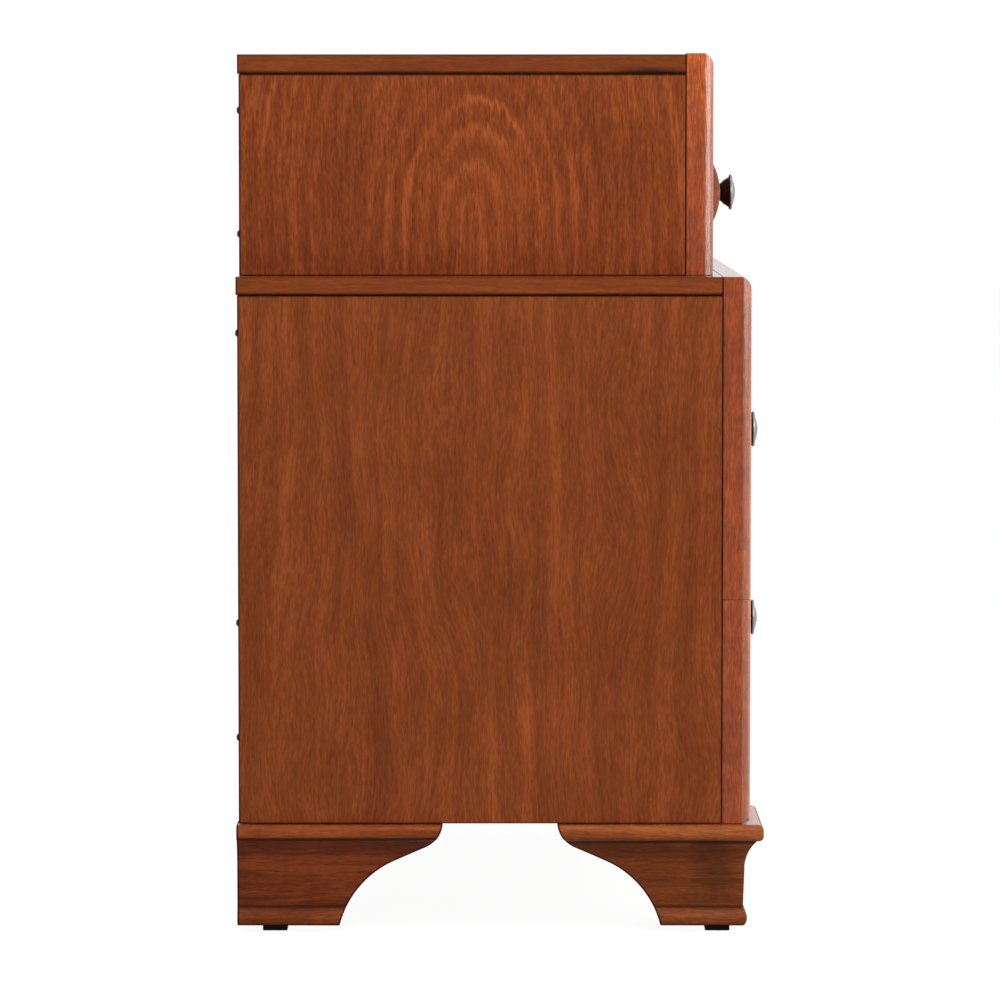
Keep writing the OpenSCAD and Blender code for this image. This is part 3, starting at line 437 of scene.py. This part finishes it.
def soften(name, node_name, edge, materials, choose=None, rim=None, sawn=None, segments=3, limit=SHARP):
    """A finished copy of a CAD piece: flat faces made whole, edges softened, normals smoothed. choose
    gives a face's place in materials. rim is the place of the finish that the softened edges take. With
    sawn, the axis that the piece was sawn across, only the edges between faces of that finish and long
    faces are softened."""
    source = frame["nodes"][node_name]
    mesh = source.data.copy()
    mesh.name = name
    piece = bpy.data.objects.new(name, mesh)
    bpy.context.scene.collection.objects.link(piece)
    mesh.materials.clear()
    for material in materials:
        mesh.materials.append(material)
    work = bmesh.new()
    work.from_mesh(mesh)
    bmesh.ops.remove_doubles(work, verts=work.verts, dist=WELD)
    bmesh.ops.dissolve_limit(work, angle_limit=FLAT, verts=work.verts, edges=work.edges)
    bmesh.ops.recalc_face_normals(work, faces=work.faces)
    for face in work.faces:
        face.smooth = True
        face.material_index = choose(face) if choose else 0
    if sawn is not None:
        weight = work.edges.layers.float.new("bevel_weight_edge")
        for line in work.edges:
            long_faces = [face for face in line.link_faces
                          if face.material_index != rim and abs(face.normal[sawn]) < 0.1]
            line[weight] = float(len(long_faces) == 1 and
                                 any(face.material_index == rim for face in line.link_faces))
            line.smooth = line[weight] > 0.0 or line.calc_face_angle(0.0) < math.radians(limit)
    work.to_mesh(mesh)
    work.free()
    bevel = piece.modifiers.new("softened edges", "BEVEL")
    bevel.width = edge
    bevel.segments = segments
    bevel.limit_method = "ANGLE" if sawn is None else "WEIGHT"
    bevel.angle_limit = math.radians(limit)
    # Clamping would shrink every bevel to the shortest edge, and sliding would throw spikes
    bevel.use_clamp_overlap = False
    bevel.loop_slide = False
    bevel.miter_outer = "MITER_ARC"
    if rim is not None:
        bevel.material = rim
    even = piece.modifiers.new("even normals", "WEIGHTED_NORMAL")
    even.weight = 70
    even.keep_sharp = True
    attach(piece, body_of(node_name))
    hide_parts(node_name)


def edges_of(node_name):
    """Lowest and highest corner of a CAD node, in millimetres."""
    low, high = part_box(node_name)
    return [c / MM for c in low], [c / MM for c in high]


def top_board_finish(face):
    """0 for the veneered faces and the rear edge, 1 for the banded edges."""
    return 0 if abs(face.normal.z) > TURNED or face.normal.y > TURNED else 1


class NIGHTSTAND_OT_top_boards(bpy.types.Operator):
    """Finish the upper and the lower top board"""

    bl_idname = "nightstand.top_boards"
    bl_label = "Top boards"

    def execute(self, context):
        tone = colours()
        tints = {"upper_top": (1.0, 0.96, 0.98), "lower_top": (1.09, 1.06, 1.06)}
        for number, (name, tint) in enumerate(tints.items()):
            low, high = edges_of(name)
            veneer = stained_wood(f"stained_top_veneer_{number}", "X", tone.veneer,
                                  seed=40 + 90 * number, period=46, gloss=0.14, specular=0.5)
            # Lines of glazing along the edges of the banding, which also paint the shade at the joints
            glaze_and_shade = [("Z", low[2], 2.8, 0.7), ("Z", high[2], 1.6, 0.8),
                     ("Y", low[1], 1.2, 0.9), ("Y", high[1], 1.8, 0.95)]
            if name == "upper_top":
                # Two darker patches along the lower edge, near the front and near the back
                glaze_and_shade += [("Z", low[2] + 1.2, 5.0, 0.85, "Y", low[1] + 30.0, 36.0),
                          ("Z", low[2] + 1.0, 4.0, 0.5, "Y", high[1] - 138.0, 40.0)]
            banding = stained_wood(f"stained_edge_banding_{number}", "Y", tinted(tone.banding, *tint),
                                   seed=13 + 70 * number, period=30, bands=0.2, dashes=0.55,
                                   clouds=0.35, glaze_and_shade=glaze_and_shade)
            soften(f"{name}_board", name, sizes().board_edge, [veneer, banding, dark_rim()],
                   choose=top_board_finish, rim=2)
        return {"FINISHED"}


def side_panel_finish(face):
    """2 for the rear edge, 0 for the rest."""
    return 2 if face.normal.y > TURNED else 0


class NIGHTSTAND_OT_side_panels(bpy.types.Operator):
    """Finish the four side panels"""

    bl_idname = "nightstand.side_panels"
    bl_label = "Side panels"

    def execute(self, context):
        tone = colours()
        raw = stained_wood("stained_rear_edges", "Z", tone.banding, seed=91, period=24)
        # The upper sides show a cathedral figure, the lower ones wide bands that wander
        figures = {"upper": dict(period=15.5, wander=7, arch=(29.0, 624.3), bands=0.55, dashes=1.0,
                                 sweep=0.3),
                   "lower": dict(period=34, wander=30, bands=0.30, dashes=0.8, sweep=0.5)}
        tints = {"upper": (0.97, 0.89, 0.86), "lower": (0.91, 0.9, 0.95)}
        for tier, look in figures.items():
            for number, side in enumerate(SIDES):
                name = f"{tier}_side_{side}"
                low, high = edges_of(name)
                # Painted light: the upper sides paler towards the front, the lower ones towards the top
                # and the bottom
                if tier == "upper":
                    pale = [("Y", 0.0, 330.0, 0.22)]
                    foot_line = 0.4
                else:
                    pale = [("Z", high[2], 420.0, 0.08), ("Z", low[2], 190.0, 0.09)]
                    foot_line = 0.8
                # The glaze lines at the panel's edges also paint the shade at the joints
                wood = stained_wood(f"stained_side_veneer_{tier}_{side}", "Z",
                                    tinted(tone.veneer, *tints[tier]), seed=7 + 31 * number, pale=pale,
                                    glaze_and_shade=[("Z", low[2], 1.4, foot_line), ("Z", high[2], 1.8, 0.8),
                                           ("Y", low[1], 1.2, 0.9), ("Y", high[1], 1.9, 0.95)], **look)
                soften(f"{name}_panel", name, sizes().board_edge, [wood, dark_rim(), raw],
                       choose=side_panel_finish, rim=1)
        return {"FINISHED"}


def rail_finish(face):
    """1 for faces that look up, 0 for the rest."""
    return 1 if face.normal.z > UPWARD else 0


def stile_finish(face):
    """1 for the upper end, 2 for the rounded outer corner, glossier and partly painted as a highlight, 0
    for the rest.
    """
    if face.normal.z > UPWARD:
        return 1
    return 2 if 0.12 < abs(face.normal.x) < 0.99 and face.normal.y < -0.12 else 0


class NIGHTSTAND_OT_face_frames(bpy.types.Operator):
    """Finish the stiles and rails of both face frames"""

    bl_idname = "nightstand.face_frames"
    bl_label = "Face frames"

    def execute(self, context):
        tone = colours()
        stiles = ("upper_stile_left", "upper_stile_right", "lower_stile_left_head",
                  "lower_stile_left_foot", "lower_stile_right")
        ends = lacquered_upper_face()
        for number, name in enumerate(stiles):
            low, high = edges_of(name)
            # Painted light: the upper stiles paler towards their top, the lower ones with a painted
            # highlight along the rounded front edge
            if name.startswith("upper"):
                base = tuple(tone.solid)
                pale = [("Z", high[2], 90.0, 0.6)]
            else:
                base = tinted(tone.solid, 0.94, 0.92, 0.9)
                pale = [("Y", low[1], 3.2, 0.9)]
            look = dict(seed=17 + 43 * number, period=15, wander=8, bands=0.3, clouds=0.6, mottle=0.5,
                        pale=pale)
            # The glaze line along the rear edge also paints the shade in the seam
            wood = stained_wood(f"stained_solid_{name}", "Z", base, specular=0.34, gloss=0.27,
                                relief=0.4, glaze_and_shade=[("Y", high[1], 1.0, 0.7)], **look)
            # A glossier copy for the rounded corner, where the highlight strip lies. Its cooler tint
            # paints part of the highlight's colour; the rest is reflection.
            rubbed = stained_wood(f"rubbed_corner_{name}", "Z", tinted(tone.solid, 0.86, 1.0, 1.3),
                                  specular=0.8, gloss=0.22, relief=1.6, **look)
            soften(f"{name}_solid", name, FRAME_EDGE, [wood, ends, rubbed], choose=stile_finish)
        rails = ("upper_top_rail", "upper_bottom_rail", "lower_top_rail", "lower_mid_rail",
                 "lower_bottom_rail")
        for number, name in enumerate(rails):
            wood = stained_wood(f"stained_solid_{name}", "X", tone.solid, seed=11 + 57 * number,
                                period=18, wander=10, mottle=0.3, specular=0.3)
            soften(f"{name}_solid", name, FRAME_EDGE, [wood, ends], choose=rail_finish)
        return {"FINISHED"}


class NIGHTSTAND_OT_backs_and_bottom(bpy.types.Operator):
    """Finish the back panels and the case bottom"""

    bl_idname = "nightstand.backs_and_bottom"
    bl_label = "Back panels and case bottom"

    def execute(self, context):
        boards = {"upper_back_panel": "X", "lower_back_panel": "Z", "case_bottom": "X"}
        for number, (name, along) in enumerate(boards.items()):
            wood = stained_wood(f"stained_plywood_{name}", along, linear("#6b4029"),
                                seed=5 + 23 * number, period=52, gloss=0.55)
            soften(f"{name}_ply", name, PLYWOOD_EDGE, [wood])
        return {"FINISHED"}


class NIGHTSTAND_OT_runners(bpy.types.Operator):
    """Finish the drawer runners"""

    bl_idname = "nightstand.runners"
    bl_label = "Drawer runners"

    def execute(self, context):
        wood = birch_wood("birch_runner_stock", "Y", colours().birch, seed=61)
        for drawer in DRAWERS:
            for side in SIDES:
                name = f"{drawer}_runner_{side}"
                soften(f"{name}_birch", name, STOCK_EDGE, [wood])
        return {"FINISHED"}


class NIGHTSTAND_OT_case_screws(bpy.types.Operator):
    """Finish the screws of the back panels and of the upper case"""

    bl_idname = "nightstand.case_screws"
    bl_label = "Case screws"

    def execute(self, context):
        dark = plated_steel("blackened_steel_screws", linear("#3b332e"))
        zinc = plated_steel("zinc_plated_screws", linear(ZINC))
        for name, steel in (("back_screws", dark), ("tier_screws", zinc)):
            soften(f"{name}_round_head", name, sizes().metal_edge, [steel], segments=2)
        return {"FINISHED"}


def foot_finish(face, cut, sole):
    """1 for the sawn faces and the lower end, 2 for faces that look up, 0 for the moulding. cut is the
    axis that the foot was sawn across, and sole is the height that the lower end lies under."""
    if face.normal.z > UPWARD:
        return 2
    sawn = abs(face.normal[cut]) > 0.2 or face.calc_center_median().z < sole
    return 1 if abs(face.normal[1 - cut]) < 0.2 and sawn else 0


class NIGHTSTAND_OT_bracket_feet(bpy.types.Operator):
    """Finish the moulded bracket feet"""

    bl_idname = "nightstand.bracket_feet"
    bl_label = "Bracket feet"

    def execute(self, context):
        tone = colours()
        names = ("foot_front_left_side", "foot_front_left_front", "foot_front_right_side",
                 "foot_front_right_front", "foot_rear_left_side", "foot_rear_right_side")
        for number, name in enumerate(names):
            low, high = edges_of(name)
            bottom, top = low[2], high[2]
            along, cut = ("X", 0) if name.endswith("_front") else ("Y", 1)
            # crease is the line under the bead, and the second number is the gain of the painted
            # highlight on the bead's top
            if name.startswith("foot_rear"):
                base = tinted(tone.foot, 1.05, 1.0, 1.0)
                crease, wear_and_highlight = top - 12.4, 1.2
            else:
                base = tinted(tone.foot, 1.2, 1.38, 1.45)
                crease, wear_and_highlight = top - 15.2, 1.0
            # Glazing in the creases under the bead, above the toe and along the bottom, with a band of
            # painted shade over the cove, which faces down
            glaze_and_shade = [("Z", crease, 2.0, 0.9), ("Z", crease - 8.0, 10.0, 0.22),
                     ("Z", bottom + 16.8, 2.0, 0.6), ("Z", bottom, 2.6, 0.6)]
            if name == "foot_front_left_side":
                # A dark patch near the corner
                glaze_and_shade.append(("Y", low[1] + 42.0, 24.0, 0.42, "Z", top - 38.0, 44.0))
            # Painted highlights on the top of the bead and of the toe
            wood = stained_wood(f"stained_foot_{name}", along, base, seed=29 + 37 * number, period=22,
                                wander=12, bands=0.4, dashes=0.7, clouds=0.8, streaks=0.28,
                                specular=0.08, glaze_and_shade=glaze_and_shade,
                                pale=[("Z", top - 2.0, 13.0, wear_and_highlight), ("Z", bottom + 9.0, 9.0, 0.5)])
            soften(f"{name}_moulding", name, sizes().foot_edge,
                   [wood, dark_rim(), lacquered_upper_face()], rim=1, sawn=cut,
                   choose=partial(foot_finish, cut=cut, sole=(bottom + 1.0) * MM))
        return {"FINISHED"}


class NIGHTSTAND_OT_foot_backing(bpy.types.Operator):
    """Finish the rear boards and the corner blocks of the feet"""

    bl_idname = "nightstand.foot_backing"
    bl_label = "Rear boards and corner blocks"

    def execute(self, context):
        board = stained_wood("stained_rear_board", "X", colours().foot, seed=83, period=24, streaks=0.3)
        soften("foot_rear_boards_solid", "foot_rear_boards", sizes().foot_edge, [board])
        block = birch_wood("stained_block_stock", "Z", linear("#6e4a2e"), seed=5)
        soften("foot_blocks_birch", "foot_blocks", STOCK_EDGE, [block])
        return {"FINISHED"}


class NIGHTSTAND_OT_glides(bpy.types.Operator):
    """Finish the glides under the feet"""

    bl_idname = "nightstand.glides"
    bl_label = "Glides"

    def execute(self, context):
        soften("glides_nailed", "glides", sizes().metal_edge, [black_polyethylene("black_polyethylene")],
               segments=2)
        return {"FINISHED"}


class NIGHTSTAND_OT_drawer_fronts(bpy.types.Operator):
    """Finish the ogee front and the two flat fronts"""

    bl_idname = "nightstand.drawer_fronts"
    bl_label = "Drawer fronts"

    def execute(self, context):
        tone = colours()
        for number, drawer in enumerate(DRAWERS):
            name = f"{drawer}_drawer_front"
            low, high = edges_of(name)
            # The ogee front's paler, cooler tint paints the sheen on its curve
            if drawer == "upper":
                base, specular = tinted(tone.veneer, 1.3, 1.5, 2.2), 0.6
            else:
                base, specular = tone.veneer, 0.35
            # The glaze lines along the top and bottom edges also paint the shade in the gaps between the
            # fronts
            wood = stained_wood(f"stained_front_{drawer}", "X", base, seed=3 + 47 * number, period=40,
                                specular=specular, gloss=0.3,
                                glaze_and_shade=[("Z", low[2], 1.2, 0.6), ("Z", high[2], 1.2, 0.6)])
            soften(f"{name}_veneered", name, sizes().board_edge, [wood])
        return {"FINISHED"}


class NIGHTSTAND_OT_drawer_boxes(bpy.types.Operator):
    """Finish the sides, backs, bottoms and stops of the drawers"""

    bl_idname = "nightstand.drawer_boxes"
    bl_label = "Drawer boxes"

    def execute(self, context):
        long_grain = birch_wood("birch_drawer_side", "Y", colours().birch, seed=19)
        cross_grain = birch_wood("birch_drawer_back", "X", colours().birch, seed=37)
        woods = {"side_left": long_grain, "side_right": long_grain, "back": cross_grain,
                 "bottom": cross_grain, "stop": cross_grain}
        for drawer in DRAWERS:
            for part, wood in woods.items():
                name = f"{drawer}_drawer_{part}"
                soften(f"{name}_birch", name, DRAWER_EDGE, [wood])
        return {"FINISHED"}


def knob_finish(face, dome):
    """1 for the dome, which lies in front of this depth, 0 for the rest."""
    return 1 if face.calc_center_median().y < dome else 0


class NIGHTSTAND_OT_knobs(bpy.types.Operator):
    """Finish the knobs and their screws"""

    bl_idname = "nightstand.knobs"
    bl_label = "Knobs"

    def execute(self, context):
        bronze = antique_bronze("antique_bronze", colours().bronze, linear("#57483f"))
        pewter = antique_bronze("rubbed_pewter", linear("#77767a"), linear("#c9c8c8"))
        zinc = plated_steel("zinc_plated_knob_screw", linear(ZINC))
        for drawer in DRAWERS:
            name = f"{drawer}_knob"
            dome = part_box(name)[0].y + 5.0 * MM
            soften(f"{name}_cast", name, KNOB_EDGE, [bronze, pewter], limit=24.0,
                   choose=partial(knob_finish, dome=dome))
            soften(f"{name}_screw_zinc", f"{name}_screw", sizes().metal_edge, [zinc], segments=2)
        return {"FINISHED"}


def soft_box(name, place, target, width, height, power):
    """A rectangular studio lamp that faces a point."""
    lamp = bpy.data.lights.new(name, "AREA")
    lamp.shape = "RECTANGLE"
    lamp.size = width
    lamp.size_y = height
    lamp.energy = power
    holder = bpy.data.objects.new(name, lamp)
    holder.location = place
    holder.rotation_euler = (Vector(target) - Vector(place)).to_track_quat("-Z", "Y").to_euler()
    bpy.context.scene.collection.objects.link(holder)


def seen_rays(tree):
    """1 for rays that show a surface, straight, by reflection or through glass, and 0 for its light."""
    path = add(tree, "LightPath")
    seen = path.outputs["Is Camera Ray"]
    for ray in ("Is Glossy Ray", "Is Transmission Ray"):
        seen = add(tree, "Math", [seen, path.outputs[ray]], operation="ADD", use_clamp=True)
    return seen


def side_camera(scene):
    """The camera at the photograph's place: level with the upper top, looking slightly down at the left
    side."""
    lens = bpy.data.cameras.new("side_camera")
    lens.sensor_width = 36.0
    lens.lens = LENS
    lens.clip_end = 60.0
    lens.dof.use_dof = False
    camera = bpy.data.objects.new("side_camera", lens)
    near_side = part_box("lower_side_left")[0].x
    camera.location = (near_side - sizes().camera_distance, CAMERA_Y, sizes().camera_height)
    camera.rotation_euler = (math.radians(90.0 - TILT), 0.0, math.radians(-90.0))
    scene.collection.objects.link(camera)
    scene.camera = camera


def pale_floor():
    """Matt pale sheet. Seen directly it reads white and keeps the soft shadow."""
    bpy.ops.mesh.primitive_plane_add(size=FLOOR_SIZE, location=(0.0, 0.0, 0.0))
    floor = bpy.context.object
    floor.name = "studio_floor"
    material, tree, shader = new_material("pale_studio_sheet")
    tree.nodes.remove(shader)
    matt = add(tree, "BsdfDiffuse", {"Color": (0.72, 0.72, 0.72, 1.0)})
    matt_seen = add(tree, "BsdfDiffuse", {"Color": (0.15, 0.15, 0.15, 1.0)})
    glow = add(tree, "Emission", {"Color": (1, 1, 1, 1), "Strength": 0.945})
    lit = add(tree, "AddShader", [matt_seen, glow])
    both = add(tree, "MixShader", [seen_rays(tree), matt, lit])
    fill(tree, tree.nodes["Material Output"], {"Surface": both})
    floor.data.materials.append(material)


def pale_surroundings(scene):
    """Plain soft surroundings, white where seen."""
    world = bpy.data.worlds.new("studio_surroundings")
    scene.world = world
    world.use_nodes = True
    sky = world.node_tree
    soft = sky.nodes["Background"]
    fill(sky, soft, {"Color": (1, 1, 1, 1), "Strength": 0.35})
    white = add(sky, "Background", {"Color": (1, 1, 1, 1), "Strength": 1.0})
    shown = add(sky, "MixShader", [seen_rays(sky), soft, white])
    fill(sky, sky.nodes["World Output"], {"Surface": shown})


class NIGHTSTAND_OT_stage(bpy.types.Operator):
    """Set the pale floor, the soft light and the camera"""

    bl_idname = "nightstand.stage"
    bl_label = "Stage, light and camera"

    def execute(self, context):
        context.scene.view_settings.view_transform = "Standard"
        side_camera(context.scene)
        pale_floor()
        pale_surroundings(context.scene)
        for lamp in SOFT_BOXES:
            soft_box(*lamp)
        return {"FINISHED"}


class NIGHTSTAND_PT_panel(bpy.types.Panel):
    """Lists the steps and the settings in the sidebar"""

    bl_idname = "NIGHTSTAND_PT_panel"
    bl_label = "Nightstand"
    bl_space_type = "VIEW_3D"
    bl_region_type = "UI"
    bl_category = "Nightstand"

    def draw(self, context):
        for step in STEPS:
            self.layout.operator(step.bl_idname)
        for group in (sizes(), colours()):
            for name in group.__annotations__:
                self.layout.prop(group, name)


STEPS = (
    NIGHTSTAND_OT_top_boards, NIGHTSTAND_OT_side_panels, NIGHTSTAND_OT_face_frames,
    NIGHTSTAND_OT_backs_and_bottom, NIGHTSTAND_OT_runners, NIGHTSTAND_OT_case_screws,
    NIGHTSTAND_OT_bracket_feet, NIGHTSTAND_OT_foot_backing, NIGHTSTAND_OT_glides,
    NIGHTSTAND_OT_drawer_fronts, NIGHTSTAND_OT_drawer_boxes, NIGHTSTAND_OT_knobs, NIGHTSTAND_OT_stage,
)
CLASSES = (NightstandSizes, NightstandColours) + STEPS + (NIGHTSTAND_PT_panel,)


def register():
    """Registers the classes and the scene's settings."""
    for cls in CLASSES:
        bpy.utils.register_class(cls)
    bpy.types.Scene.nightstand_sizes = PointerProperty(type=NightstandSizes)
    bpy.types.Scene.nightstand_colours = PointerProperty(type=NightstandColours)


def unregister():
    """Removes the scene's settings and the classes."""
    del bpy.types.Scene.nightstand_colours
    del bpy.types.Scene.nightstand_sizes
    for cls in reversed(CLASSES):
        bpy.utils.unregister_class(cls)


def main():
    """Builds the nightstand and its stage."""
    register()
    for step in STEPS:
        group, name = step.bl_idname.split(".")
        getattr(getattr(bpy.ops, group), name)()
    bpy.context.view_layer.update()


if __name__ == "__main__":
    main()
